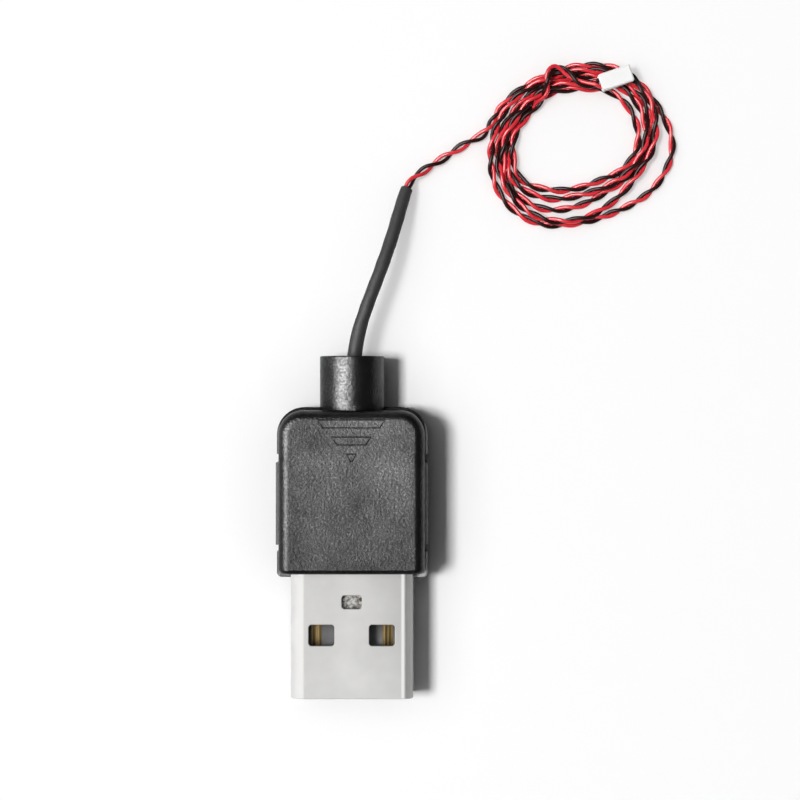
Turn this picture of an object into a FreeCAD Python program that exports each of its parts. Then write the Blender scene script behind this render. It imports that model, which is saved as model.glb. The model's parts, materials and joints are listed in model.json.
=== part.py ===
import FreeCAD, Part
import math
import os
from types import SimpleNamespace

import Sketcher
from FreeCAD import Placement, Rotation, Vector

# USB-A power plug in a two-part snap-together housing, on a thin two-wire lead.
# +X is to the right of the plug seen from above, +Y runs from the plug towards the lead, +Z is up.
# The origin is on the resting plane, under the middle of the plug and its housing.

DIMENSIONS = {
    # Housing, both halves
    "axis_height": 4.0,
    "housing_height": 8.0,
    "housing_length": 16.7,
    "lower_width": 14.8,
    "lip": 0.3,
    "front_lip": 0.5,
    "lip_chamfer": 0.12,
    "rear_corner": 2.7,
    "long_edge_radius": 1.05,
    "front_edge_radius": 0.5,
    "housing_wall": 1.05,
    "collar_diameter": 6.35,
    "collar_length": 5.0,
    "collar_bore": 2.6,
    "collar_edge_radius": 0.15,
    "clamp_rib_length": 1.2,
    "clamp_rib_width": 5.0,
    "clamp_fit": 0.03,
    "support_rib_length": 0.8,
    "support_rib_pitch": 3.2,
    "stop_rib_width": 9.0,
    # Snap arms and their relief notches
    "notch_setback": 4.6,
    "notch_length": 0.8,
    "notch_depth": 0.35,
    "arm_setback": 2.5,
    "arm_thickness": 0.8,
    "arm_rise": 2.2,
    "arm_fit": 0.05,
    "hook_length": 4.0,
    "hook_depth": 0.3,
    "hook_height": 0.5,
    "hook_rise": 1.2,
    # Raised direction mark
    "mark_setback": 1.0,
    "mark_half_width": 3.2,
    "mark_length": 3.9,
    "bar_length": 0.64,
    "bar_pitch": 1.65,
    "pointer_half_width": 0.4,
    "pointer_tip_half_width": 0.02,
    "mark_rise": 0.12,
    "moat_width": 0.12,
    "moat_depth": 0.1,
    # Plug shell
    "shell_side_margin": 1.4,
    "shell_height": 4.5,
    "shell_wall": 0.3,
    "shell_corner": 1.3,
    "shell_exposed": 11.75,
    "shell_inside": 6.5,
    "shell_fit": 0.05,
    "shell_lead_in": 0.1,
    "seam_gap": 0.08,
    "window_width": 2.5,
    "window_length": 2.05,
    "window_corner": 0.3,
    "window_side_margin": 1.8,
    "window_setback": 5.2,
    "window_edge": 0.08,
    "dimple_width": 1.95,
    "dimple_length": 1.3,
    "dimple_depth": 0.9,
    "dimple_wall": 0.25,
    "dimple_setback": 8.8,
    # Contact carrier and contacts
    "carrier_fit": 0.05,
    "tongue_setback": 0.4,
    "tongue_thickness": 1.9,
    "block_setback": 8.0,
    "block_overhang": 1.0,
    "deck_length": 2.4,
    "contact_width": 1.0,
    "contact_thickness": 0.25,
    "contact_proud": 0.05,
    "contact_fit": 0.02,
    "contact_nose": 0.6,
    "outer_contact_margin": 2.5,
    "inner_contact_offset": 1.0,
    "outer_contact_setback": 1.0,
    "inner_contact_setback": 2.0,
    "tail_setback": 0.1,
    # Wires, solder and sleeve
    "wire_diameter": 0.38,
    "pair_gap": 0.08,
    "conductor_diameter": 0.2,
    "strip_length": 1.3,
    "strip_setback": 0.1,
    "grip_clearance": 0.1,
    "solder_radius": 0.46,
    "solder_past_wire": 0.09,
    "sleeve_diameter": 1.3,
    "sleeve_fit": 0.03,
    "coil_height": 1.6,
    "coil_edge_radius": 0.5,
    # White two-pin wire connector
    "connector_length": 3.3,
    "connector_width": 1.7,
    "connector_height": 1.3,
    "connector_edge": 0.12,
    "terminal_pitch": 0.85,
    "terminal_width": 0.6,
    "terminal_length": 2.4,
    "terminal_setback": 0.25,
    "terminal_wall": 0.08,
    "terminal_fit": 0.02,
    "mating_slot": 0.4,
    "latch_window_length": 0.5,
}

# The lead's route, from inside the housing to the coil, each point chosen by hand, with y
# measured from the collar's mouth.
LEAD_ROUTE = [
    (0.00, -6.625, 4.00),
    (0.03, -3.625, 4.00),
    (0.15, -0.425, 4.05),
    (0.50, 2.475, 4.35),
    (1.65, 5.475, 4.50),
    (2.85, 8.575, 4.10),
    (3.90, 11.675, 3.30),
    (4.75, 14.675, 2.30),
    (5.50, 17.225, 1.30),
    (6.65, 18.275, 0.95),
    (8.15, 19.225, 0.65),
    (9.95, 20.375, 0.48),
    (11.65, 21.475, 0.46),
    (13.35, 22.275, 0.50),
]
# The sleeve ends just before this corner of the route.
SLEEVE_END_CORNER = 8

# The coil's outline: angle in degrees, inner radius and outer radius about its centre, whose y
# is measured from the collar's mouth.
COIL_CENTRE = (22.67, 21.115)
COIL_OUTLINE = [
    (0, 5.25, 9.85),
    (30, 5.6, 8.95),
    (60, 5.6, 9.05),
    (90, 5.1, 8.55),
    (120, 5.4, 8.35),
    (150, 5.8, 9.0),
    (180, 6.6, 9.95),
    (210, 6.5, 9.9),
    (240, 4.75, 9.45),
    (270, 3.7, 8.05),
    (300, 3.45, 7.85),
    (330, 4.4, 9.0),
]

# Where the white connector lies on the coil, with y measured from the collar's mouth, and how
# far it is turned.
CONNECTOR_PLACE = (26.05, 27.545)
CONNECTOR_TURN = 19.0

# A wire's way from the grip's mouth to its contact: share of the way across, along and up.
WIRE_END_WAY = [
    (0, 0, 0),
    (0.31, 0.285, 0.385),
    (0.79, 0.51, 0.81),
    (1, 0.8, 1.08),
    (1, 1, 1),
]

# How far a cut runs past the face that it opens.
OVERRUN = 1.0
# Heights or places closer together than this are the same.
SAME_LEVEL = 1e-4
# How much of its shorter run an arc of a route may take at each end.
ARC_SHARE = 0.45

doc = FreeCAD.newDocument("usb_power_lead")
sheet = doc.addObject("Spreadsheet::Sheet", "dims")
nodes = []


class Size:
    """A length that carries its formula in the sheet's cells beside its present value."""

    def __init__(self, formula, value):
        self.formula = formula
        self.value = value

    def joined(self, sign, other, value):
        return Size(f"({self.formula} {sign} {size_of(other).formula})", value)

    def __add__(self, other):
        return self.joined("+", other, self.value + size_of(other).value)

    def __sub__(self, other):
        return self.joined("-", other, self.value - size_of(other).value)

    def __mul__(self, other):
        return self.joined("*", other, self.value * size_of(other).value)

    def __truediv__(self, other):
        return self.joined("/", other, self.value / size_of(other).value)

    def __rmul__(self, other):
        return size_of(other) * self

    def __neg__(self):
        return Size(f"(0 - {self.formula})", -self.value)


def size_of(number):
    """Give a plain number as a Size."""
    return number if isinstance(number, Size) else Size(str(number), number)


def fill_sheet():
    """Put each driving dimension into an aliased cell and give them all back as sizes."""
    for row, (alias, value) in enumerate(DIMENSIONS.items(), start=1):
        sheet.set(f"A{row}", str(value))
        sheet.setAlias(f"A{row}", alias)
    doc.recompute()
    return SimpleNamespace(
        **{alias: Size(f"dims.{alias}", value) for alias, value in DIMENSIONS.items()}
    )


def bind(thing, **sizes):
    """Bind properties of an object to sizes."""
    for name, size in sizes.items():
        thing.setExpression(name, size_of(size).formula)


def plane_of(body, role):
    return next(p for p in body.Origin.OriginFeatures if p.Role == role)


def attach(feature, body, role, x, y, z):
    """Attach a feature to an origin plane at an offset bound to sizes."""
    feature.AttachmentSupport = [(plane_of(body, role), "")]
    feature.MapMode = "FlatFace"
    for axis, size in (("x", x), ("y", y), ("z", z)):
        feature.setExpression(f"AttachmentOffset.Base.{axis}", size_of(size).formula)


def new_body(label):
    body = doc.addObject("PartDesign::Body", label)
    nodes.append(body)
    return body


def block(body, kind, name, x, y, z):
    """Add or cut a box between the two ends given for each axis."""
    box = body.newObject(f"PartDesign::{kind}Box", name)
    box.Refine = False
    attach(box, body, "XY_Plane", x[0], y[0], z[0])
    bind(box, Length=x[1] - x[0], Width=y[1] - y[0], Height=z[1] - z[0])
    return box


def half_bar(body, kind, name, diameter, y, height, angle=360, turn=0):
    """Add or cut a cylinder, or part of one, that lies along Y at a height."""
    bar = body.newObject(f"PartDesign::{kind}Cylinder", name)
    bar.Refine = False
    bar.AttachmentOffset = Placement(Vector(), Rotation(Vector(0, 0, 1), turn))
    attach(bar, body, "XZ_Plane", 0, height, -y[1])
    bind(bar, Radius=diameter / 2, Height=y[1] - y[0])
    bar.Angle = angle
    return bar


def new_sketch(body, name, role, start):
    """Make a sketch on an origin plane, moved along the axis that the plane lacks."""
    sketch = body.newObject("Sketcher::SketchObject", name)
    attach(sketch, body, role, 0, 0, -start if role == "XZ_Plane" else start)
    return sketch


def fix(sketch, kind, *where, size=None):
    """Add one constraint, bound to a size where it has one."""
    if size is None:
        sketch.addConstraint(Sketcher.Constraint(kind, *where))
        return
    index = sketch.addConstraint(Sketcher.Constraint(kind, *where, size.value))
    sketch.setExpression(f"Constraints[{index}]", size.formula)


def polygon(body, name, role, start, corners):
    """Sketch a closed outline whose corners are pairs of sizes."""
    sketch = new_sketch(body, name, role, start)
    corners = [(size_of(a), size_of(b)) for a, b in corners]
    points = [Vector(a.value, b.value, 0) for a, b in corners]
    count = len(points)
    for i in range(count):
        sketch.addGeometry(Part.LineSegment(points[i], points[(i + 1) % count]))
    for i, (across, up) in enumerate(corners):
        fix(sketch, "Coincident", i, 1, (i - 1) % count, 2)
        fix(sketch, "DistanceX", -1, 1, i, 1, size=across)
        fix(sketch, "DistanceY", -1, 1, i, 1, size=up)
    return sketch


def rounded(body, name, role, start, across, up, radius, sharp_below=False):
    """Sketch a rectangle with rounded corners, of which the two lower ones may be sharp."""
    sketch = new_sketch(body, name, role, start)
    left, right, bottom, top = across[0].value, across[1].value, up[0].value, up[1].value
    round_by = radius.value
    corners = [(right, bottom, 270), (right, top, 0), (left, top, 90), (left, bottom, 180)]
    ends = []
    for i, (x, y, first) in enumerate(corners):
        if sharp_below and i in (0, 3):
            ends.append((Vector(x, y, 0), Vector(x, y, 0), None))
            continue
        inward_x = -round_by if x == right else round_by
        inward_y = -round_by if y == top else round_by
        circle = Part.Circle(Vector(x + inward_x, y + inward_y, 0), Vector(0, 0, 1), round_by)
        arc = Part.ArcOfCircle(circle, math.radians(first), math.radians(first + 90))
        ends.append((arc.StartPoint, arc.EndPoint, arc))
    lines = [
        sketch.addGeometry(Part.LineSegment(ends[i - 1][1], ends[i][0])) for i in range(4)
    ]
    for i in range(4):
        line, after = lines[i], lines[(i + 1) % 4]
        fix(sketch, "Vertical" if i % 2 else "Horizontal", line)
        if ends[i][2] is None:
            fix(sketch, "Coincident", line, 2, after, 1)
            continue
        arc = sketch.addGeometry(ends[i][2])
        fix(sketch, "Tangent", line, 2, arc, 1)
        fix(sketch, "Tangent", arc, 2, after, 1)
        fix(sketch, "Radius", arc, size=radius)
    fix(sketch, "DistanceY", -1, 1, lines[0], 1, size=up[0])
    fix(sketch, "DistanceX", -1, 1, lines[1], 1, size=across[1])
    fix(sketch, "DistanceY", -1, 1, lines[2], 1, size=up[1])
    fix(sketch, "DistanceX", -1, 1, lines[3], 1, size=across[0])
    return sketch


def extrude(body, kind, sketch, length):
    """Pad or pocket a sketch by a length in the positive direction of its axis."""
    feature = body.newObject(f"PartDesign::{kind}", f"{sketch.Name}_{kind}")
    feature.Profile = sketch
    bind(feature, Length=length)
    on_xz = sketch.AttachmentSupport[0][0].Role == "XZ_Plane"
    feature.Reversed = on_xz != (kind == "Pocket")
    sketch.Visibility = False
    return feature


def soften(body, kind, name, size, wanted):
    """Fillet or chamfer the edges of the body's tip that a test picks."""
    base = body.Tip
    doc.recompute()
    names = [
        f"Edge{i}" for i, edge in enumerate(base.Shape.Edges, start=1) if wanted(edge)
    ]
    feature = body.newObject(f"PartDesign::{kind}", name)
    feature.Base = (base, names)
    bind(feature, **{"Radius" if kind == "Fillet" else "Size": size})
    return feature


def at_level(edge, axis, level):
    """Tell whether a whole edge lies at one value of x, y or z."""
    low, high = getattr(edge.BoundBox, axis + "Min"), getattr(edge.BoundBox, axis + "Max")
    return abs(low - level.value) < SAME_LEVEL and abs(high - level.value) < SAME_LEVEL


def route_edges(points):
    """Join points by straight runs and arcs, each arc as large as its two runs allow."""
    edges, radii, start = [], [], points[0]
    for before, corner, after in zip(points, points[1:], points[2:]):
        along, onward = (corner - before).normalize(), (after - corner).normalize()
        reach = ARC_SHARE * min((corner - before).Length, (after - corner).Length)
        half_turn = along.getAngle(onward) / 2
        first, last = corner - along * reach, corner + onward * reach
        radius = reach / math.tan(half_turn)
        inward = (onward - along).normalize()
        middle = corner + inward * (radius / math.cos(half_turn) - radius)
        edges.append(Part.LineSegment(start, first).toShape())
        edges.append(Part.Arc(first, middle, last).toShape())
        radii.append(radius)
        start = last
    edges.append(Part.LineSegment(start, points[-1]).toShape())
    return edges, radii


def swept(edges, diameter):
    """Carry a round section of one diameter along tangent edges."""
    path = Part.Wire(edges)
    start = edges[0].Vertexes[0].Point
    along = edges[0].tangentAt(edges[0].FirstParameter)
    ring = Part.Wire([Part.Circle(start, along, diameter / 2).toShape()])
    solid = path.makePipeShell([ring], True, False)
    expected = math.pi * diameter**2 / 4 * path.Length
    print(f"  {path.Length:.2f} long: volume {solid.Volume:.3f}, section times length {expected:.3f}")
    return solid


def new_feature(label, shape):
    """Make a sub-part from a shape worked out with Part's own functions."""
    feature = doc.addObject("Part::Feature", label)
    feature.Shape = shape
    feature.Placement = Placement()
    nodes.append(feature)
    return feature


d = fill_sheet()

# Places along the plug, worked out from the driving dimensions
plug_front = -(d.shell_exposed + d.housing_length + d.collar_length) / 2
housing_front = plug_front + d.shell_exposed
housing_rear = housing_front + d.housing_length
collar_mouth = housing_rear + d.collar_length
shell_rear = housing_front + d.shell_inside
shell_half = d.lower_width / 2 - d.shell_side_margin
outer_contact = shell_half - d.outer_contact_margin
shell_bottom = d.axis_height - d.shell_height / 2
shell_top = d.axis_height + d.shell_height / 2
cavity_half = shell_half + d.shell_fit
cavity_front = housing_front + d.housing_wall
cavity_rear = housing_rear - d.housing_wall
clamp_front = cavity_rear - d.clamp_rib_length
dimple_front = plug_front + d.dimple_setback
dimple_rear = dimple_front + d.dimple_length
tongue_top = shell_bottom + d.shell_wall + d.carrier_fit + d.tongue_thickness
block_rear = shell_rear + d.block_overhang
deck_rear = block_rear + d.deck_length
tail_rear = deck_rear - d.tail_setback
tail_top = tongue_top + d.contact_proud
wire_height = tail_top + d.wire_diameter / 2
pair_diameter = 2 * d.wire_diameter + d.pair_gap
notch_rear = housing_rear - d.notch_setback
arm_rear = notch_rear - d.notch_length
notch_front = housing_front + d.arm_setback
arm_front = notch_front + d.notch_length
arm_outside = d.lower_width / 2
arm_inside = arm_outside - d.arm_thickness
hook_front = (arm_front + arm_rear) / 2 - d.hook_length / 2
hook_bottom = d.axis_height + d.hook_rise


def beyond_mouth(x, y, z):
    """Give a point whose y is measured from the collar's mouth."""
    return Vector(x, collar_mouth.value + y, z)


def both(half):
    """Give the two ends of a width that is centred on the plug's axis."""
    return -half, half


def on_side(side, near, far):
    """Order two distances from the plug's axis as ends on the left or right side."""
    return (near, far) if side > 0 else (-far, -near)


def cover_block(body, inset, front_inset, z, rounded_level):
    """Pad a cover's outline, then round its long edges and the edges of its front face."""
    front = housing_front + front_inset
    outline = rounded(
        body, body.Name + "_outline", "XY_Plane", z[0],
        both(d.lower_width / 2 - inset), (front, housing_rear - inset),
        d.rear_corner - inset, sharp_below=True,
    )
    extrude(body, "Pad", outline, z[1] - z[0])
    soften(
        body, "Fillet", body.Name + "_long_edges", d.long_edge_radius,
        lambda edge: at_level(edge, "Z", rounded_level) and not at_level(edge, "Y", front),
    )
    soften(
        body, "Fillet", body.Name + "_front_edges", d.front_edge_radius,
        lambda edge: at_level(edge, "Y", front) and not at_level(edge, "Z", d.axis_height),
    )


def hollow_cover(body, z_room, z_rib, z_stop):
    """Cut the room inside a cover, then leave its ribs and bore them for what they hold."""
    room_y = (cavity_front, cavity_rear)
    block(body, "Subtractive", body.Name + "_room", both(cavity_half), room_y, z_room)
    first_rib = cavity_front + d.support_rib_length
    for i in range(2):
        rib_front = first_rib + i * d.support_rib_pitch
        rib_y = (rib_front, rib_front + d.support_rib_length)
        block(body, "Additive", f"{body.Name}_support_{i}", both(cavity_half), rib_y, z_rib)
    stop_y = (shell_rear + d.shell_fit, shell_rear + d.shell_fit + d.support_rib_length)
    block(body, "Additive", body.Name + "_stop", both(d.stop_rib_width / 2), stop_y, z_stop)
    clamp_y = (clamp_front, cavity_rear)
    block(body, "Additive", body.Name + "_clamp", both(d.clamp_rib_width / 2), clamp_y, z_rib)
    opening = rounded(
        body, body.Name + "_opening", "XZ_Plane", housing_front - OVERRUN,
        both(cavity_half), (shell_bottom - d.shell_fit, shell_top + d.shell_fit),
        d.shell_corner + d.shell_fit,
    )
    extrude(body, "Pocket", opening, shell_rear + d.shell_fit - housing_front + OVERRUN)
    grip = d.sleeve_diameter + 2 * d.clamp_fit
    grip_y = (clamp_front - OVERRUN, cavity_rear)
    half_bar(body, "Subtractive", body.Name + "_grip", grip, grip_y, d.axis_height)
    bore_y = (cavity_rear, collar_mouth + OVERRUN)
    half_bar(body, "Subtractive", body.Name + "_bore", d.collar_bore, bore_y, d.axis_height)


def add_collar(body, turn):
    """Add one cover's half of the collar and round the edge of its mouth."""
    y = (cavity_rear + d.lip, collar_mouth)
    half_bar(body, "Additive", body.Name + "_collar", d.collar_diameter, y, d.axis_height, 180, turn)
    soften(
        body, "Fillet", body.Name + "_collar_edge", d.collar_edge_radius,
        lambda edge: at_level(edge, "Y", collar_mouth) and not at_level(edge, "Z", d.axis_height),
    )


def make_upper_cover():
    body = new_body("upper_cover")
    split, roof = d.axis_height, d.housing_height
    cover_block(body, d.lip, d.front_lip, (split, roof), roof)
    add_collar(body, 0)
    room = (split, roof - d.housing_wall)
    stop = (shell_top - d.shell_wall, roof - d.housing_wall)
    hollow_cover(body, room, room, stop)
    for side, name in ((-1, "left"), (1, "right")):
        recess_x = on_side(side, arm_inside - d.arm_fit, arm_outside)
        recess_z = (split, split + d.arm_rise + d.arm_fit)
        block(body, "Subtractive", name + "_recess", recess_x, (notch_front, notch_rear), recess_z)
        catch_x = on_side(side, arm_inside - d.hook_depth - d.arm_fit, arm_inside)
        catch_y = (hook_front - d.arm_fit, hook_front + d.hook_length + d.arm_fit)
        catch_z = (hook_bottom - d.arm_fit, hook_bottom + d.hook_height + d.arm_fit)
        block(body, "Subtractive", name + "_catch", catch_x, catch_y, catch_z)
    add_direction_mark(body, roof)
    return body


def add_direction_mark(body, roof):
    """Raise two bars and a pointer, each in a shallow moat, that narrow towards the plug."""
    mark_rear = housing_rear - d.lip - d.mark_setback
    slope = d.mark_half_width / d.mark_length
    shapes = []
    for i in range(2):
        rear = i * d.bar_pitch
        front = rear + d.bar_length
        shapes.append((rear, front, slope * (d.mark_length - rear), slope * (d.mark_length - front)))
    pointer = 2 * d.bar_pitch
    shapes.append((pointer, d.mark_length, d.pointer_half_width, d.pointer_tip_half_width))
    moat = d.moat_width
    for i, (rear, front, wide, narrow) in enumerate(shapes):
        y_rear, y_front = mark_rear - rear, mark_rear - front
        for kind, grow, start, rise in (
            ("Pocket", moat, roof - d.moat_depth, d.moat_depth),
            ("Pad", size_of(0), roof - d.moat_depth, d.moat_depth + d.mark_rise),
        ):
            corners = [
                (-(wide + grow), y_rear + grow),
                (-(narrow + grow), y_front - grow),
                (narrow + grow, y_front - grow),
                (wide + grow, y_rear + grow),
            ]
            sketch = polygon(body, f"mark_{i}_{kind.lower()}", "XY_Plane", start, corners)
            extrude(body, kind, sketch, rise)


def make_lower_cover():
    body = new_body("lower_cover")
    split = d.axis_height
    nothing = size_of(0)
    cover_block(body, nothing, nothing, (nothing, split), nothing)
    soften(
        body, "Chamfer", "lip_edge", d.lip_chamfer, lambda edge: at_level(edge, "Z", split)
    )
    add_collar(body, 180)
    room = (d.housing_wall, split)
    stop = (d.housing_wall, shell_bottom + d.shell_wall)
    hollow_cover(body, room, room, stop)
    for side, name in ((-1, "left"), (1, "right")):
        arm_x = on_side(side, arm_inside, arm_outside)
        arm_z = (split - d.housing_wall, split + d.arm_rise)
        block(body, "Additive", name + "_arm", arm_x, (arm_front, arm_rear), arm_z)
        hook_x = on_side(side, arm_inside - d.hook_depth, arm_inside + d.arm_thickness / 2)
        hook_y = (hook_front, hook_front + d.hook_length)
        hook_z = (hook_bottom, hook_bottom + d.hook_height)
        block(body, "Additive", name + "_hook", hook_x, hook_y, hook_z)
        notch_x = on_side(side, arm_outside - d.notch_depth, arm_outside + OVERRUN)
        notch_z = (nothing - OVERRUN, split + OVERRUN)
        for place, start in (("front", notch_front), ("rear", arm_rear)):
            notch_y = (start, start + d.notch_length)
            block(body, "Subtractive", f"{name}_{place}_notch", notch_x, notch_y, notch_z)
    return body


def make_plug_shell():
    body = new_body("plug_shell")
    length = shell_rear - plug_front
    outside = rounded(
        body, "shell_outside", "XZ_Plane", plug_front,
        both(shell_half), (shell_bottom, shell_top), d.shell_corner,
    )
    extrude(body, "Pad", outside, length)
    soften(
        body, "Chamfer", "lead_in", d.shell_lead_in, lambda edge: at_level(edge, "Y", plug_front)
    )
    inside = rounded(
        body, "shell_inside", "XZ_Plane", plug_front - OVERRUN,
        both(shell_half - d.shell_wall), (shell_bottom + d.shell_wall, shell_top - d.shell_wall),
        d.shell_corner - d.shell_wall,
    )
    extrude(body, "Pocket", inside, length + 2 * OVERRUN)
    cup_x = both(d.dimple_width / 2 + d.dimple_wall)
    cup_y = (dimple_front - d.dimple_wall, dimple_rear + d.dimple_wall)
    cup_bottom = shell_top - d.dimple_depth
    cup_z = (cup_bottom - d.dimple_wall, shell_top - d.shell_wall / 2)
    block(body, "Additive", "dimple_cup", cup_x, cup_y, cup_z)
    hollow = rounded(
        body, "dimple_hollow", "XY_Plane", cup_bottom,
        both(d.dimple_width / 2), (dimple_front, dimple_rear), d.window_corner,
    )
    extrude(body, "Pocket", hollow, d.dimple_depth + OVERRUN)
    window_y = (plug_front + d.window_setback, plug_front + d.window_setback + d.window_length)
    window_far = shell_half - d.window_side_margin
    for side, name in ((-1, "left"), (1, "right")):
        window_x = on_side(side, window_far - d.window_width, window_far)
        window = rounded(
            body, name + "_window", "XY_Plane", shell_bottom - OVERRUN,
            window_x, window_y, d.window_corner,
        )
        extrude(body, "Pocket", window, d.shell_height + 2 * OVERRUN)
    soften(
        body, "Fillet", "window_edges", d.window_edge,
        lambda edge: (at_level(edge, "Z", shell_top) or at_level(edge, "Z", shell_bottom))
        and edge.BoundBox.YMin > plug_front.value + OVERRUN
        and edge.BoundBox.YMax < shell_rear.value - OVERRUN,
    )
    seam_z = (shell_bottom - OVERRUN, shell_bottom + 2 * d.shell_wall)
    seam_y = (plug_front - OVERRUN, shell_rear + OVERRUN)
    block(body, "Subtractive", "seam", both(d.seam_gap / 2), seam_y, seam_z)
    return body


CONTACTS = (
    ("contact_power", -outer_contact, d.outer_contact_setback),
    ("contact_data_minus", -d.inner_contact_offset, d.inner_contact_setback),
    ("contact_data_plus", d.inner_contact_offset, d.inner_contact_setback),
    ("contact_ground", outer_contact, d.outer_contact_setback),
)


def make_contact_carrier():
    body = new_body("contact_carrier")
    gap = d.shell_wall + d.carrier_fit
    tongue_front = plug_front + d.tongue_setback
    outline = rounded(
        body, "carrier_outline", "XZ_Plane", tongue_front,
        both(shell_half - gap), (shell_bottom + gap, shell_top - gap), d.shell_corner - gap,
    )
    extrude(body, "Pad", outline, deck_rear - tongue_front)
    above = (tongue_top, shell_top)
    all_across = both(shell_half)
    mouth_y = (tongue_front - OVERRUN, plug_front + d.block_setback)
    block(body, "Subtractive", "mouth", all_across, mouth_y, above)
    block(body, "Subtractive", "above_deck", all_across, (block_rear, deck_rear + OVERRUN), above)
    cup = d.dimple_wall + d.carrier_fit
    cup_x = both(d.dimple_width / 2 + cup)
    cup_y = (dimple_front - cup, dimple_rear + cup)
    cup_z = (shell_top - d.dimple_depth - cup, shell_top)
    block(body, "Subtractive", "dimple_seat", cup_x, cup_y, cup_z)
    half = d.contact_width / 2 + d.contact_fit
    seat = tail_top - d.contact_thickness
    for label, place, setback in CONTACTS:
        groove_x = (place - half, place + half)
        front = plug_front + setback - d.contact_fit
        groove_z = (seat, tail_top + d.contact_fit)
        groove_y = (front, deck_rear + OVERRUN)
        block(body, "Subtractive", label + "_groove", groove_x, groove_y, groove_z)
        nose_y = (front, front + d.contact_thickness + 2 * d.contact_fit)
        nose_z = (seat - d.contact_nose - d.contact_fit, tail_top)
        block(body, "Subtractive", label + "_nose_slot", groove_x, nose_y, nose_z)
    return body


def make_contact(label, place, setback):
    """Make a flat contact with a nose bent down at its front and a solder tail at its rear."""
    body = new_body(label)
    front = plug_front + setback
    seat = tail_top - d.contact_thickness
    inside_nose = front + d.contact_thickness
    corners = [
        (front, seat - d.contact_nose),
        (inside_nose, seat - d.contact_nose),
        (inside_nose, seat),
        (tail_rear, seat),
        (tail_rear, tail_top),
        (front, tail_top),
    ]
    profile = polygon(body, label + "_profile", "YZ_Plane", place - d.contact_width / 2, corners)
    extrude(body, "Pad", profile, d.contact_width)
    return body


def make_wire_end(name, side):
    """Make one wire's insulated end, bare end and solder joint inside the housing."""
    place = side * outer_contact
    strip_start = tail_rear + d.strip_setback
    aside = (pair_diameter - d.wire_diameter).value / 2
    pair_end = beyond_mouth(side * aside, LEAD_ROUTE[0][1], d.axis_height.value)
    grip_mouth = Vector(pair_end.x, (clamp_front - d.grip_clearance).value, pair_end.z)
    way = Vector(place.value, strip_start.value, wire_height.value) - grip_mouth
    points = [grip_mouth + Vector(way.x * x, way.y * y, way.z * z) for x, y, z in WIRE_END_WAY]
    points.insert(0, pair_end)
    edges, radii = route_edges(points)
    print(f"{name} wire end radii:", " ".join(f"{r:.1f}" for r in radii))
    new_feature(name + "_wire_end", swept(edges, d.wire_diameter.value))
    bare = doc.addObject("Part::Cylinder", name + "_bare_end")
    bare.Placement = Placement(Vector(), Rotation(Vector(1, 0, 0), 90))
    bind(bare, Radius=d.conductor_diameter / 2, Height=d.strip_length)
    solder_ball = doc.addObject("Part::Sphere", name + "_solder_dome")
    solder_ball.Angle1 = 0
    bind(solder_ball, Radius=d.solder_radius)
    solder_y = strip_start - d.strip_length + d.solder_radius - d.solder_past_wire
    for thing, y, z in ((bare, strip_start, wire_height), (solder_ball, solder_y, tail_top)):
        for axis_name, size in (("x", place), ("y", y), ("z", z)):
            thing.setExpression(f"Placement.Base.{axis_name}", size.formula)
    joint = doc.addObject("Part::Cut", name + "_solder_joint")
    joint.Base = solder_ball
    joint.Tool = bare
    nodes.extend([bare, joint])


def coil_ring():
    """Make the coil's outer shape: a flat ring between two smooth closed outlines."""
    centre = beyond_mouth(*COIL_CENTRE, 0)
    faces = []
    for which in (2, 1):
        points = []
        for row in COIL_OUTLINE:
            angle = math.radians(row[0])
            points.append(centre + Vector(math.cos(angle), math.sin(angle), 0) * row[which])
        curve = Part.BSplineCurve()
        curve.interpolate(Points=points, PeriodicFlag=True)
        faces.append(Part.Face(Part.Wire([curve.toShape()])))
    height = d.coil_height.value
    outer, inner = (face.extrude(Vector(0, 0, height)) for face in faces)
    rims = [edge for edge in outer.Edges if edge.BoundBox.ZLength < SAME_LEVEL]
    return outer.makeFillet(d.coil_edge_radius.value, rims).cut(inner)


def make_lead():
    """Make the sleeve, the uncoiled stretch of the pair and the coil."""
    edges, radii = route_edges([beyond_mouth(*point) for point in LEAD_ROUTE])
    print("lead radii:", " ".join(f"{r:.1f}" for r in radii))
    ring = coil_ring()
    lead = swept(edges, pair_diameter.value).cut(ring)
    sleeve_edges = edges[: 2 * SLEEVE_END_CORNER - 1]
    bore = swept(sleeve_edges, (pair_diameter + 2 * d.sleeve_fit).value)
    sleeve = swept(sleeve_edges, d.sleeve_diameter.value).cut(bore)
    new_feature("heat_shrink_sleeve", sleeve)
    new_feature("twisted_pair_lead", lead)
    new_feature("lead_coil", ring)


def seat_on_coil(body):
    """Lay a body of the white connector on top of the coil."""
    turn = Rotation(Vector(0, 0, 1), CONNECTOR_TURN)
    body.Placement = Placement(beyond_mouth(*CONNECTOR_PLACE, 0), turn)
    body.setExpression("Placement.Base.y", (collar_mouth + CONNECTOR_PLACE[1]).formula)
    body.setExpression("Placement.Base.z", d.coil_height.formula)


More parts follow.
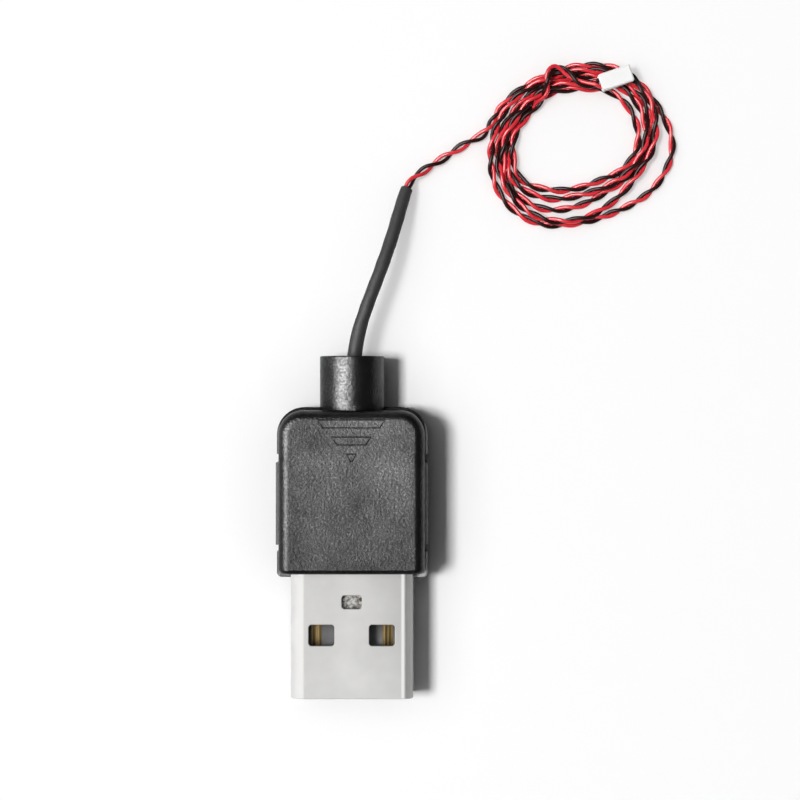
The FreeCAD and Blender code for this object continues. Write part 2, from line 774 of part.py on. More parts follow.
def make_connector():
    """Make the white two-pin housing and its crimp terminals, which enter from its left end."""
    body = new_body("wire_connector_housing")
    left, right = both(d.connector_length / 2)
    whole_y = both(d.connector_width / 2)
    whole_z = (size_of(0), d.connector_height)
    block(body, "Additive", "connector_block", (left, right), whole_y, whole_z)
    soften(body, "Chamfer", "connector_edges", d.connector_edge, lambda edge: True)
    middle = d.connector_height / 2
    half = d.terminal_width / 2
    room = half + d.terminal_fit
    slot = d.mating_slot / 2
    centre = left + d.terminal_length / 2
    pins = ((-1, "power"), (1, "ground"))
    for side, name in pins:
        y = side * d.terminal_pitch / 2
        room_x = (left - OVERRUN, left + d.terminal_length)
        room_y, room_z = (y - room, y + room), (middle - room, middle + room)
        block(body, "Subtractive", name + "_room", room_x, room_y, room_z)
        slot_y, slot_z = (y - slot, y + slot), (middle - slot, middle + slot)
        block(body, "Subtractive", name + "_slot", (left, right + OVERRUN), slot_y, slot_z)
        window_x = (centre, centre + d.latch_window_length)
        window_z = (size_of(-OVERRUN), middle)
        block(body, "Subtractive", name + "_latch_window", window_x, slot_y, window_z)
    seat_on_coil(body)
    for side, name in pins:
        make_terminal(name, side * d.terminal_pitch / 2, middle, left, centre)


def make_terminal(name, y, z, left, centre):
    """Make a folded box terminal, closed round the mating pin and open over the wire's crimp."""
    body = new_body("crimp_terminal_" + name)
    half = d.terminal_width / 2
    inner = half - d.terminal_wall
    start, stop = left + d.terminal_setback, left + d.terminal_length
    block(body, "Additive", name + "_box", (start, stop), (y - half, y + half), (z - half, z + half))
    inner_x, inner_y = (left, stop + OVERRUN), (y - inner, y + inner)
    block(body, "Subtractive", name + "_inside", inner_x, inner_y, (z - inner, z + inner))
    block(body, "Subtractive", name + "_open_top", (left, centre), inner_y, (z, z + half + OVERRUN))
    seat_on_coil(body)


def write_parts():
    """Check every object and every sub-part, then write one file for each sub-part."""
    doc.recompute()
    for thing in doc.Objects:
        if "Invalid" in thing.State or "Error" in thing.State:
            raise RuntimeError(f"{thing.Name} failed: {thing.State}")
    for node in nodes:
        shape = node.Shape
        if shape.isNull() or not shape.isValid() or len(shape.Solids) != 1:
            raise RuntimeError(f"{node.Label} isn't one valid solid: {len(shape.Solids)} solids")
    os.makedirs("parts", exist_ok=True)
    for node in nodes:
        node.Shape.exportStep(f"parts/{node.Label}.step")
        box = node.Shape.optimalBoundingBox()
        spans = ((box.XMin, box.XMax), (box.YMin, box.YMax), (box.ZMin, box.ZMax))
        ends = " ".join(f"{low:7.2f}{high:7.2f}" for low, high in spans)
        print(f"{node.Label:24s} {node.Shape.Volume:9.3f} mm3 {ends}")


make_upper_cover()
make_lower_cover()
make_plug_shell()
make_contact_carrier()
for contact in CONTACTS:
    make_contact(*contact)
make_wire_end("power", -1)
make_wire_end("ground", 1)
make_lead()
make_connector()
write_parts()
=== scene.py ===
import json
import math

import bpy
import numpy as np
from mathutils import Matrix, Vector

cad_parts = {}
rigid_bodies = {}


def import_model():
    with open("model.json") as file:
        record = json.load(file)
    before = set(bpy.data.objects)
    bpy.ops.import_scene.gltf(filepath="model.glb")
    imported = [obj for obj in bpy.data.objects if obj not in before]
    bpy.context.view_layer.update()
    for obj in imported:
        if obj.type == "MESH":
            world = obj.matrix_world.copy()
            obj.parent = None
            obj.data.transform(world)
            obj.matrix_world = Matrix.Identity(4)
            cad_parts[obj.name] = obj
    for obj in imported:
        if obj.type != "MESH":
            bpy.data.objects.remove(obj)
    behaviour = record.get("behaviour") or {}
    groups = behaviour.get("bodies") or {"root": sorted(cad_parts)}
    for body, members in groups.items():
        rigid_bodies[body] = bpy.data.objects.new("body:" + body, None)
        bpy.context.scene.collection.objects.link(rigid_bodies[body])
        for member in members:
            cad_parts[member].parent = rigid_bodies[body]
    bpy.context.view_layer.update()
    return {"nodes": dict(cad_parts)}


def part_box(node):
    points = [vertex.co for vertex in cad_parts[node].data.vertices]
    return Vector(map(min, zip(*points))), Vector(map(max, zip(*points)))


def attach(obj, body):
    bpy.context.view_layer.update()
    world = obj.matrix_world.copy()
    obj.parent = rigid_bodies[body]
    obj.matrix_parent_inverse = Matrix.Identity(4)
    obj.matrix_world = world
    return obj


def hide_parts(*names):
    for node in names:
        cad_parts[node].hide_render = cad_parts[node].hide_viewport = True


# Looks of a power plug on a thin twisted red and black lead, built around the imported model.
# Lengths are in millimetres until a mesh, a light or the camera is made, which are in metres.

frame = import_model()
nodes = frame["nodes"]
MM = 0.001

# The camera looks straight down at the middle of the picture
CAMERA_OVER = (4.70, 12.42)
CAMERA_HEIGHT = 244.95
SHARP_HEIGHT = 4.95
PICTURE_WIDTH = 78.30
SENSOR_WIDTH = 36.0

# The lead's route, from inside the housing to the coil, each point listed
LEAD_ROUTE = [
    (0.00, 10.10, 4.00),
    (0.03, 13.10, 4.00),
    (0.15, 16.30, 4.05),
    (0.62, 19.20, 4.35),
    (1.65, 22.20, 4.50),
    (2.85, 25.30, 4.10),
    (3.90, 28.40, 3.30),
    (4.75, 31.40, 2.30),
    (5.50, 33.95, 1.30),
    (6.65, 35.00, 0.95),
    (8.15, 35.95, 0.65),
    (9.95, 37.10, 0.53),
    (11.65, 38.20, 0.52),
    (13.35, 39.00, 0.50),
]

# The coil: for each angle about its centre, against the clock from +X, the distance of each
# turn from the centre, the inner turn first, and the heights of the second and fourth turns,
# which ride on the others. The lead comes in as the outer turn and winds clockwise.
COIL_CENTRE = (22.65, 37.82)
COIL_TURNS = {
    180: (7.22, 7.67, 8.27, 8.87, 9.52, 1.10, 1.05),
    150: (6.40, 6.68, 7.30, 8.09, 8.55, 1.20, 1.10),
    120: (5.95, 6.45, 6.88, 7.28, 7.65, 1.05, 1.25),
    90: (5.53, 6.00, 6.80, 7.25, 7.85, 1.10, 1.05),
    60: (6.20, 6.97, 7.47, 7.97, 8.62, 1.10, 1.10),
    30: (6.10, 7.02, 7.76, 8.23, 8.47, 0.85, 1.25),
    0: (5.83, 6.47, 6.81, 7.32, 9.40, 1.20, 1.10),
    -30: (4.88, 5.43, 5.79, 6.20, 8.55, 1.20, 1.20),
    -60: (3.90, 4.81, 5.13, 6.44, 7.40, 1.20, 0.50),
    -90: (4.14, 4.88, 5.97, 7.42, 7.58, 0.85, 1.25),
    -120: (5.16, 6.20, 7.42, 8.44, 9.00, 0.42, 1.05),
    -150: (7.06, 7.72, 8.21, 8.57, 9.45, 1.10, 1.20),
}
FLOOR_TURN_HEIGHT = 0.42
# The last stretch of the lead, wrapped over the turns: angle, distance, height
LAST_STRETCH = [
    (180, 6.66, 0.95),
    (165, 6.20, 0.60),
    (152, 5.85, 0.50),
    (141, 5.66, 0.50),
    (131, 5.70, 0.95),
    (123, 6.10, 1.90),
    (119, 6.85, 2.45),
    (115, 7.40, 2.40),
    (109.5, 7.90, 2.00),
    (104, 7.45, 1.85),
    (101, 6.90, 2.00),
    (95.4, 6.12, 2.15),
    (87.2, 5.63, 2.25),
]
# The white connector's middle, turn and length, and how far the wires reach into it
CONNECTOR_PLACE = (26.05, 44.27)
CONNECTOR_TURN = 19.0
CONNECTOR_LENGTH = 3.3
WIRE_REACH = 0.6
TERMINAL_PITCH = 0.85

WIRE_DIAMETER = 0.38
SLEEVE_BORE = 0.90
# One turn of the twist along the coil and along the looser stretch before it
TWIST_PITCH = 4.1
LOOSE_PITCH = 4.65
LOOSE_UNTIL = 38.0
LOOSE_GAP = 0.14
# How far past the sleeve's end the red wire first lies uppermost on the left
RED_LEFT_AT = 4.75
COLLAR_MOUTH = 16.725

# The lamps: their distance, and how far each stands from straight overhead towards the left
LAMP_DISTANCE = 1.60
KEY_TILT = 21.0
SHEEN_TILT = 35.0
SLEEVE_END = 33.45


# Paths and meshes


def coil_point(angle, distance, height):
    """Give a point of the coil. A quadratic spline runs inside its points, by the cosine of half
    their spacing on a circle, so each point stands out from the measured line by that share."""
    half_spacing = math.radians(15)
    turn = math.radians(angle)
    out = distance / math.cos(half_spacing)
    return (
        COIL_CENTRE[0] + out * math.cos(turn),
        COIL_CENTRE[1] + out * math.sin(turn),
        height,
    )


def coil_points():
    """Wind the five turns clockwise from the outer one to the inner one."""
    points = []
    for turn in range(4, -1, -1):
        for angle, row in COIL_TURNS.items():
            if turn == 4 and angle == 180:
                continue
            height = {1: row[5], 3: row[6]}.get(turn, FLOOR_TURN_HEIGHT)
            points.append(coil_point(angle, row[turn], height))
    return points


def last_points():
    """Wrap the last stretch over the turns and lead it straight into the connector's end."""
    turn = math.radians(CONNECTOR_TURN)
    along = np.array([math.cos(turn), math.sin(turn), 0.0])
    low, high = (np.array(corner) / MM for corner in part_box("wire_connector_housing"))
    centre = np.array([*CONNECTOR_PLACE, (low[2] + high[2]) / 2])
    mouth = centre - along * CONNECTOR_LENGTH / 2
    points = [coil_point(*row) for row in LAST_STRETCH]
    return points + [tuple(mouth - along * 0.55), tuple(mouth + along * WIRE_REACH)]


def smooth_path(points):
    """Read the smooth line of a quadratic NURBS spline that has these control points."""
    curve = bpy.data.curves.new("lead_route", "CURVE")
    curve.dimensions = "3D"
    curve.resolution_u = 12
    spline = curve.splines.new("NURBS")
    spline.points.add(len(points) - 1)
    spline.points.foreach_set("co", np.array([(*p, 1.0) for p in points], float).ravel())
    spline.order_u = 3
    spline.use_endpoint_u = True
    holder = bpy.data.objects.new("lead_route", curve)
    mesh = bpy.data.meshes.new_from_object(holder)
    line = np.empty(len(mesh.vertices) * 3)
    mesh.vertices.foreach_get("co", line)
    bpy.data.objects.remove(holder)
    bpy.data.meshes.remove(mesh)
    bpy.data.curves.remove(curve)
    return line.reshape(-1, 3)


def lengths_along(line):
    """Add up the straight distances between neighbouring points."""
    steps = np.linalg.norm(np.diff(line, axis=0), axis=1)
    return np.concatenate([[0.0], np.cumsum(steps)])


def even_steps(line, step):
    """Give points of a line at even distances along it."""
    reached = lengths_along(line)
    count = int(reached[-1] / step) + 1
    wanted = np.linspace(0, reached[-1], count)
    return np.stack([np.interp(wanted, reached, line[:, i]) for i in range(3)], axis=1)


def directions(line):
    """Give the direction, the level side direction and the upward direction at each point."""
    along = np.gradient(line, axis=0)
    along /= np.linalg.norm(along, axis=1)[:, None]
    side = np.cross(along, [0.0, 0.0, 1.0])
    side /= np.linalg.norm(side, axis=1)[:, None]
    return along, side, np.cross(side, along)


def tube_grid(line, radius, sides):
    """Point = line(s) + radius(s) * (side * cos a + up * sin a), for s along and a round it."""
    along, side, up = directions(line)
    turn = np.linspace(0, 2 * math.pi, sides, endpoint=False)
    reach = np.broadcast_to(radius, len(line))[:, None, None]
    ring = side[:, None] * np.cos(turn)[:, None] + up[:, None] * np.sin(turn)[:, None]
    return line[:, None] + reach * ring


def grid_faces(rows, sides, first=0):
    """Join a grid of rows by quads that close round each row."""
    index = first + np.arange(rows * sides).reshape(rows, sides)
    here, ahead = index[:-1], index[1:]
    quads = [here, np.roll(here, -1, 1), np.roll(ahead, -1, 1), ahead]
    return np.stack(quads, axis=-1).reshape(-1, 4).tolist()


def mesh_piece(name, points, faces, materials, face_materials=None):
    """Make a smooth mesh object from points in millimetres."""
    mesh = bpy.data.meshes.new(name)
    mesh.from_pydata((np.asarray(points).reshape(-1, 3) * MM).tolist(), [], faces)
    for material in materials:
        mesh.materials.append(material)
    if face_materials is not None:
        mesh.polygons.foreach_set("material_index", np.asarray(face_materials, np.int32))
    mesh.shade_smooth()
    mesh.update()
    piece = bpy.data.objects.new(name, mesh)
    bpy.context.scene.collection.objects.link(piece)
    return piece


def smooth_ramp(value, start, stop):
    """Go from 0 at start to 1 at stop along 3t^2 - 2t^3."""
    share = np.clip((value - start) / (stop - start), 0, 1)
    return share * share * (3 - 2 * share)


# Materials


class Paint:
    """A node material whose nodes are added by kind and joined by name."""

    def __init__(self, name):
        self.material = bpy.data.materials.new(name)
        self.material.use_nodes = True
        self.tree = self.material.node_tree
        self.shader = self.tree.nodes["Principled BSDF"]

    def add(self, kind, links=None, **values):
        node = self.tree.nodes.new(kind)
        for key, value in values.items():
            if hasattr(node, key):
                setattr(node, key, value)
            else:
                node.inputs[key.replace("_", " ").title()].default_value = value
        for key, source in (links or {}).items():
            self.tree.links.new(source, node.inputs[key])
        return node

    def place(self):
        return self.tree_output("ShaderNodeTexCoord", "Object")

    def tree_output(self, kind, output):
        return self.add(kind).outputs[output]

    def noise(self, scale, detail=2.0, roughness=0.5, stretch=None):
        where = self.place()
        if stretch:
            where = self.add("ShaderNodeMapping", {"Vector": where}, Scale=stretch).outputs[0]
        node = self.add("ShaderNodeTexNoise", {"Vector": where})
        node.inputs["Scale"].default_value = scale / MM
        node.inputs["Detail"].default_value = detail
        node.inputs["Roughness"].default_value = roughness
        return node.outputs["Fac"]

    def spread(self, source, low, high, to_low, to_high, kind="LINEAR"):
        node = self.add("ShaderNodeMapRange", {"Value": source}, interpolation_type=kind)
        for key, value in zip(("From Min", "From Max", "To Min", "To Max"), (low, high, to_low, to_high)):
            node.inputs[key].default_value = value
        return node.outputs[0]

    def tree_math(self, operation, *sources):
        return self.add("ShaderNodeMath", dict(enumerate(sources)), operation=operation).outputs[0]

    def times(self, first, second):
        node = self.add("ShaderNodeMath", {0: first}, operation="MULTIPLY")
        if isinstance(second, float):
            node.inputs[1].default_value = second
        else:
            self.tree.links.new(second, node.inputs[1])
        return node.outputs[0]

    def either(self, share, first, second):
        """Go from the first number to the second as the share grows from 0 to 1."""
        node = self.add("ShaderNodeMix", {0: share, 2: first}, data_type="FLOAT")
        if isinstance(second, float):
            node.inputs[3].default_value = second
        else:
            self.tree.links.new(second, node.inputs[3])
        return node.outputs[0]

    def blend_colours(self, share, dark, light):
        node = self.add("ShaderNodeMix", data_type="RGBA")
        self.tree.links.new(share, node.inputs[0])
        node.inputs[6].default_value = (*dark, 1)
        node.inputs[7].default_value = (*light, 1)
        return node.outputs[2]

    def lighten(self, share, colour, other):
        """Go from a colour made by nodes to a fixed one as the share grows."""
        node = self.add("ShaderNodeMix", data_type="RGBA")
        self.tree.links.new(share, node.inputs[0])
        self.tree.links.new(colour, node.inputs[6])
        node.inputs[7].default_value = (*other, 1)
        return node.outputs[2]

    def bump(self, height, depth, before=None):
        node = self.add("ShaderNodeBump", {"Height": height})
        node.inputs["Distance"].default_value = depth * MM
        if before is not None:
            self.tree.links.new(before, node.inputs["Normal"])
        return node.outputs["Normal"]

    def finish(self, **sockets):
        for key, value in sockets.items():
            socket = self.shader.inputs[key.replace("_", " ")]
            if isinstance(value, bpy.types.NodeSocket):
                self.tree.links.new(value, socket)
            else:
                socket.default_value = (*value, 1) if isinstance(value, tuple) else value
        return self.material


def housing_plastic():
    """Black moulded plastic with a spark-eroded grain, stronger and more matt on its flat faces:
    flat is a ramp of the facing direction's upward share from 0.985 to 0.9975, but for the
    collar beyond y = 11.7. The rest glitters instead, and the relief is grain(p) * (0.5 + 0.5
    flat). The tone is clouds(p) * (0.75 + 0.4t) * (0.62 + 0.43u), with t = (x + 6) / 12 and
    u = (y + 4.5) / 10, times flat, plus pale specks painted in as glints of the grain. Narrow
    grooves and corners get painted shade by the share of sky that they see, and the ledges round
    the upper cover get a painted highlight, paler above all on the right, where they lie in shade."""
    paint = Paint("housing_plastic")
    facing = paint.tree_output("ShaderNodeNewGeometry", "Normal")
    height = paint.add("ShaderNodeSeparateXYZ", {"Vector": facing}).outputs["Z"]
    place = paint.add("ShaderNodeSeparateXYZ", {"Vector": paint.place()})
    body = paint.spread(place.outputs["Y"], 11.5 * MM, 11.9 * MM, 1, 0)
    flat = paint.times(paint.spread(height, 0.985, 0.9975, 0, 1), body)
    grain = paint.noise(4.2, 3.0, 0.7)
    relief = paint.times(grain, paint.spread(flat, 0, 1, 0.5, 1))
    slope = paint.spread(place.outputs["X"], -6 * MM, 6 * MM, 0.75, 1.15)
    rise = paint.spread(place.outputs["Y"], -4.5 * MM, 5.5 * MM, 0.62, 1.05)
    clouds = paint.spread(paint.noise(0.22, 4.0, 0.6), 0.3, 0.7, 0.45, 1.5)
    shade = paint.times(paint.times(clouds, slope), rise)
    # Painted shade: narrow grooves and corners are darkened by the share of sky that they see.
    seen = paint.add("ShaderNodeAmbientOcclusion", samples=8, only_local=False).outputs["AO"]
    # Painted highlight: the ledges round the upper cover, and the lower edge beside the shell, are painted paler,
    # most on the right, where they lie in shade.
    ledge_highlight = paint.spread(paint.tree_math("ABSOLUTE", place.outputs["X"]), 7.08 * MM, 7.16 * MM, 0, 1)
    rear = paint.spread(place.outputs["Y"], -4.60 * MM, -4.54 * MM, 1, 0)
    corner = paint.spread(paint.tree_math("ABSOLUTE", place.outputs["X"]), 6.02 * MM, 6.12 * MM, 0, 1)
    ledge_highlight = paint.tree_math("ADD", ledge_highlight, paint.times(rear, corner))
    ledge_highlight = paint.times(ledge_highlight, paint.spread(height, 0.2, 0.7, 0, 1))
    ledge_highlight = paint.times(ledge_highlight, paint.spread(place.outputs["X"], -7 * MM, 7 * MM, 0.22, 1))
    open_share = paint.spread(seen, 0.55, 0.85, 0.15, 1)
    tone = paint.times(paint.times(shade, flat), open_share)
    colour = paint.blend_colours(tone, (0.003, 0.003, 0.003), (0.018, 0.018, 0.019))
    dots = paint.noise(4.4, 1.0, 0.5)
    # Painted glints: pale specks in the tone of the flat faces.
    painted_glints = paint.spread(dots, 0.56, 0.74, 0, 0.7)
    painted_glints = paint.times(paint.times(painted_glints, flat), paint.times(open_share, shade))
    speckled = paint.lighten(painted_glints, colour, (0.13, 0.13, 0.135))
    speckled = paint.lighten(ledge_highlight, speckled, (0.42, 0.42, 0.42))
    gloss = paint.times(open_share, paint.spread(shade, 0.3, 1.5, 0.20, 0.68))
    glitter = paint.spread(dots, 0.35, 0.65, 0.72, 1.30)
    gloss = paint.times(gloss, paint.either(flat, glitter, 1.0))
    gloss = paint.either(ledge_highlight, gloss, 0.9)
    # The mean of this gloss, set on the socket itself. The exported model keeps only
    # this gloss, the mean
    paint.shader.inputs["Specular IOR Level"].default_value = 0.35
    return paint.finish(
        Base_Color=speckled,
        Roughness=paint.tree_math("ADD", paint.spread(body, 0, 1, 0.14, 0.22), paint.times(flat, 0.10)),
        Specular_IOR_Level=gloss,
        Normal=paint.bump(relief, 0.10),
    )


def shell_metal():
    """Satin nickel on folded sheet steel, with faint cloudy stains and drawing marks, painted
    shade towards the housing on the right side, and painted highlights where the folds start.
    Relief: the left shoulder falls by 0.10 from x = -4.6 to -6.1,
    the face dips by 0.10 * t^2 from x = -0.5 to -4.7, with t from 0 to 1, and by 0.22 * u^2,
    u = x / 4.7, towards the right; a bead of 0.12 rises at x = 4.80 to 5.22, and the right
    shoulder, which carries painted shade, falls by 0.12 up to 5.6 and by 0.12 again from 5.85.
    The windows' sides get painted shade by the share of sky that they see, and the dimple gets
    it in spots of noise."""
    paint = Paint("shell_metal")
    clouds = paint.noise(0.16, 3.0, 0.6)
    marks = paint.noise(3.0, 2.0, 0.5, stretch=(1.0, 0.06, 1.0))
    plate = paint.blend_colours(paint.spread(clouds, 0.3, 0.7, 0, 1), (0.70, 0.695, 0.68), (0.86, 0.855, 0.84))
    # Painted shade: window sides and the dimple are darkened by the share of sky that they see, the dimple in spots
    # of noise.
    seen = paint.add("ShaderNodeAmbientOcclusion", samples=8, only_local=True)
    seen.inputs["Distance"].default_value = 1.0 * MM
    painted_wall_shade = paint.spread(seen.outputs["AO"], 0.50, 0.97, 1, 0)
    place = paint.add("ShaderNodeSeparateXYZ", {"Vector": paint.place()})
    across = place.outputs["X"]
    dimple = paint.spread(place.outputs["Y"], -8.9 * MM, -8.7 * MM, 0, 1)
    mottle = paint.spread(paint.noise(2.6, 2.0, 0.7), 0.38, 0.62, 1.2, 0.3)
    painted_wall_shade = paint.either(dimple, painted_wall_shade, paint.times(painted_wall_shade, mottle))
    # Painted shade on the right shoulder
    inner_shoulder_shade = paint.spread(across, 5.22 * MM, 5.35 * MM, 0, 0.65)
    outer_shoulder_shade = paint.spread(across, 5.85 * MM, 5.95 * MM, 0, 0.3)
    painted_shoulder_shade = paint.tree_math("ADD", inner_shoulder_shade, outer_shoulder_shade)
    # Painted shade towards the housing on the right side
    painted_rear_shade = paint.spread(place.outputs["Y"], -15.0 * MM, -4.9 * MM, 0, 0.55)
    painted_rear_shade = paint.times(painted_rear_shade, paint.spread(across, 0, 5.0 * MM, 0.2, 1))
    plate = paint.lighten(painted_rear_shade, plate, (0.60, 0.595, 0.58))
    plate = paint.lighten(painted_shoulder_shade, plate, (0.36, 0.36, 0.355))
    # Painted highlights where the folds start
    for start, full, fading, stop in ((-5.6, -4.95, -4.78, -4.62), (4.75, 4.92, 5.06, 5.2)):
        painted_fold_highlight = paint.spread(across, start * MM, full * MM, 0, 1)
        painted_fold_highlight = paint.times(painted_fold_highlight, paint.spread(across, fading * MM, stop * MM, 1, 0))
        plate = paint.lighten(painted_fold_highlight, plate, (0.88, 0.875, 0.865))
    colour = paint.lighten(painted_wall_shade, plate, (0.09, 0.075, 0.055))
    rough = paint.spread(clouds, 0.3, 0.7, 0.34, 0.42)
    left = paint.spread(across, -6.1 * MM, -4.6 * MM, 0, 1)
    near = paint.spread(across, -4.7 * MM, -0.5 * MM, 1, 0)
    far = paint.spread(across, 0, 4.7 * MM, 0, 1)
    bead = paint.spread(across, 4.80 * MM, 5.22 * MM, 0, 1, "SMOOTHSTEP")
    right = paint.spread(across, 5.24 * MM, 5.6 * MM, 1, 0)
    outer = paint.spread(across, 5.85 * MM, 6.1 * MM, 1, 0)
    facing = paint.bump(left, 0.10)
    facing = paint.bump(paint.times(near, near), 0.10, facing)
    facing = paint.bump(paint.times(paint.times(far, far), -1.0), 0.22, facing)
    facing = paint.bump(bead, 0.12, facing)
    facing = paint.bump(right, 0.12, facing)
    facing = paint.bump(outer, 0.12, facing)
    return paint.finish(
        Base_Color=colour, Roughness=rough, Metallic=0.55, Normal=paint.bump(marks, 0.002, facing)
    )


def plain_plastic(name, dark, light, roughness, gloss=0.5, grain=4.0, depth=0.006, painted_shade_span=None):
    """Moulded plastic with slight changes of tone, gloss and surface. Given a span along y for painted shade, the
    tone falls evenly from all to none of itself between its two places."""
    paint = Paint(name)
    tone = paint.noise(0.5, 3.0)
    if painted_shade_span:
        along = paint.add("ShaderNodeSeparateXYZ", {"Vector": paint.place()}).outputs["Y"]
        tone = paint.times(tone, paint.spread(along, painted_shade_span[0] * MM, painted_shade_span[1] * MM, 1.6, 0))
    fine = paint.noise(grain, 2.0)
    return paint.finish(
        Base_Color=paint.blend_colours(tone, dark, light),
        Roughness=paint.spread(fine, 0.3, 0.7, roughness - 0.05, roughness + 0.05),
        Specular_IOR_Level=gloss,
        Normal=paint.bump(fine, depth),
    )


def plated_metal(name, dark, light, roughness):
    """Thin plated strip with rolling marks along it."""
    paint = Paint(name)
    marks = paint.noise(4.5, 1.0, 0.5, stretch=(1.0, 0.03, 1.0))
    return paint.finish(
        Base_Color=paint.blend_colours(paint.spread(marks, 0.35, 0.65, 0, 1), dark, light),
        Roughness=paint.spread(marks, 0.3, 0.7, roughness - 0.06, roughness + 0.06),
        Metallic=1.0,
        Normal=paint.bump(marks, 0.003),
    )


def white_floor():
    """A white paper sweep, shown to the camera as brightly exposed as in the photograph."""
    material = bpy.data.materials.new("white_floor")
    material.use_nodes = True
    tree = material.node_tree
    tree.nodes.clear()
    seen = tree.nodes.new("ShaderNodeLightPath").outputs["Is Camera Ray"]
    paper = tree.nodes.new("ShaderNodeBsdfDiffuse")
    paper.inputs["Color"].default_value = (0.78, 0.78, 0.78, 1)
    shown = tree.nodes.new("ShaderNodeBsdfDiffuse")
    # Painted shade: near the object the floor shown to the camera is darker, by the share of sky that it sees.
    near = tree.nodes.new("ShaderNodeAmbientOcclusion")
    near.inputs["Distance"].default_value = 7.0 * MM
    near.inputs["Color"].default_value = (0.885, 0.885, 0.885, 1)
    shade = tree.nodes.new("ShaderNodeMapRange")
    for key, value in zip(("From Min", "From Max", "To Min", "To Max"), (0.4, 1.0, 0.74, 0.885)):
        shade.inputs[key].default_value = value
    tree.links.new(near.outputs["AO"], shade.inputs["Value"])
    tree.links.new(shade.outputs[0], shown.inputs["Color"])
    mix = tree.nodes.new("ShaderNodeMixShader")
    tree.links.new(seen, mix.inputs[0])
    tree.links.new(paper.outputs[0], mix.inputs[1])
    tree.links.new(shown.outputs[0], mix.inputs[2])
    out = tree.nodes.new("ShaderNodeOutputMaterial")
    tree.links.new(mix.outputs[0], out.inputs["Surface"])
    return material


# Pieces


def make_camera():
    """Look straight down; the lens frames the picture's width at the sharp height."""
    data = bpy.data.cameras.new("camera")
    data.sensor_width = SENSOR_WIDTH
    data.lens = SENSOR_WIDTH * (CAMERA_HEIGHT - SHARP_HEIGHT) / PICTURE_WIDTH
    data.clip_start = 0.01
    data.clip_end = 50.0
    camera = bpy.data.objects.new("camera", data)
    camera.location = (CAMERA_OVER[0] * MM, CAMERA_OVER[1] * MM, CAMERA_HEIGHT * MM)
    bpy.context.scene.collection.objects.link(camera)
    bpy.context.scene.camera = camera


def make_pair(line, red, black):
    """Twist two wires about the lead's line: centre = line(s) + half * (side cos t + up sin t),
    with t falling by a full turn each pitch, and half growing where the twist is loose and where
    the wires part at the end. The phase of the loose stretch puts red at t = pi at one point."""
    reached = lengths_along(line)
    total = reached[-1]
    along, side, up = directions(line)
    waver = 0.35 * np.sin(reached / 3.1) + 0.25 * np.sin(reached / 7.3 + 1.0)
    coiled = smooth_ramp(reached, LOOSE_UNTIL - 4.0, LOOSE_UNTIL)
    rate = 2 * math.pi * ((1 - coiled) / LOOSE_PITCH + coiled / TWIST_PITCH)
    wound = np.cumsum(rate * np.gradient(reached))
    twist = wound[-1] - wound + waver - waver[-1]
    rising = reached < LOOSE_UNTIL - 4.0
    sleeve_end = np.interp(SLEEVE_END, line[rising, 1], reached[rising])
    missing = math.pi - np.interp(sleeve_end + RED_LEFT_AT, reached, twist)
    twist = twist + (1 - coiled) * ((missing + math.pi) % (2 * math.pi) - math.pi)
    parting = smooth_ramp(reached, total - 2.0, total - WIRE_REACH)
    settled = smooth_ramp(reached, total - 1.2, total)
    twist = twist * (1 - settled)
    free = smooth_ramp(line[:, 1], SLEEVE_END, SLEEVE_END + 1.5) * (1 - coiled)
    half = WIRE_DIAMETER / 2 * 1.03 + free * LOOSE_GAP / 2
    half = half + parting * (TERMINAL_PITCH / 2 - half)
    offset = half[:, None] * (side * np.cos(twist)[:, None] + up * np.sin(twist)[:, None])
    sides = 10
    points, faces, colours = [], [], []
    for index, sign in enumerate((1, -1)):
        grid = tube_grid(line + sign * offset, WIRE_DIAMETER / 2, sides)
        first = len(points) * len(line) * sides
        last = first + (len(line) - 1) * sides
        quads = grid_faces(len(line), sides, first)
        caps = [list(range(first, first + sides))[::-1], list(range(last, last + sides))]
        points.append(grid)
        faces += quads + caps
        colours += [index] * (len(quads) + 2)
    return mesh_piece("twisted_pair", np.array(points), faces, [red, black], colours)


def make_sleeve(line, material):
    """Shrink a tube over the pair: wide at the collar, narrow beyond it, with a thin open end.
    Its outer radius is a smooth ramp of the distance plus a faint ridge that follows the twist."""
    sides = 40
    reached = lengths_along(line)
    from_collar = reached - np.interp(COLLAR_MOUTH, line[:, 1], reached)
    outer = 0.64 + 0.08 * smooth_ramp(from_collar, -2.5, -0.5) - 0.07 * smooth_ramp(from_collar, 0.5, 5.0)
    outer -= 0.04 * smooth_ramp(reached, reached[-1] - 3.0, reached[-1])
    turn = np.linspace(0, 2 * math.pi, sides, endpoint=False)
    grid = tube_grid(line, outer, sides)
    ridge = 0.012 * np.cos(2 * (turn[None] + 2 * math.pi * reached[:, None] / LOOSE_PITCH))
    ridge *= smooth_ramp(from_collar, 1.0, 5.0)[:, None]
    outward = grid - line[:, None]
    outward /= np.linalg.norm(outward, axis=2)[..., None]
    grid = grid + outward * ridge[..., None]
    inner = tube_grid(line, SLEEVE_BORE / 2, sides)
    lip = (grid[-1] + inner[-1]) / 2 + (line[-1] - line[-2]) / np.linalg.norm(line[-1] - line[-2]) * 0.04
    rows = np.concatenate([grid, lip[None], inner[::-1]])
    return mesh_piece("sleeve", rows, grid_faces(len(rows), sides), [material])


def make_floor():
    """Lay the white floor on which everything stands."""
    reach = 1500.0
    corners = [(-reach, -reach, -0.01), (reach, -reach, -0.01), (reach, reach, -0.01), (-reach, reach, -0.01)]
    floor = mesh_piece("floor", corners, [(0, 1, 2, 3)], [white_floor()])
    return floor


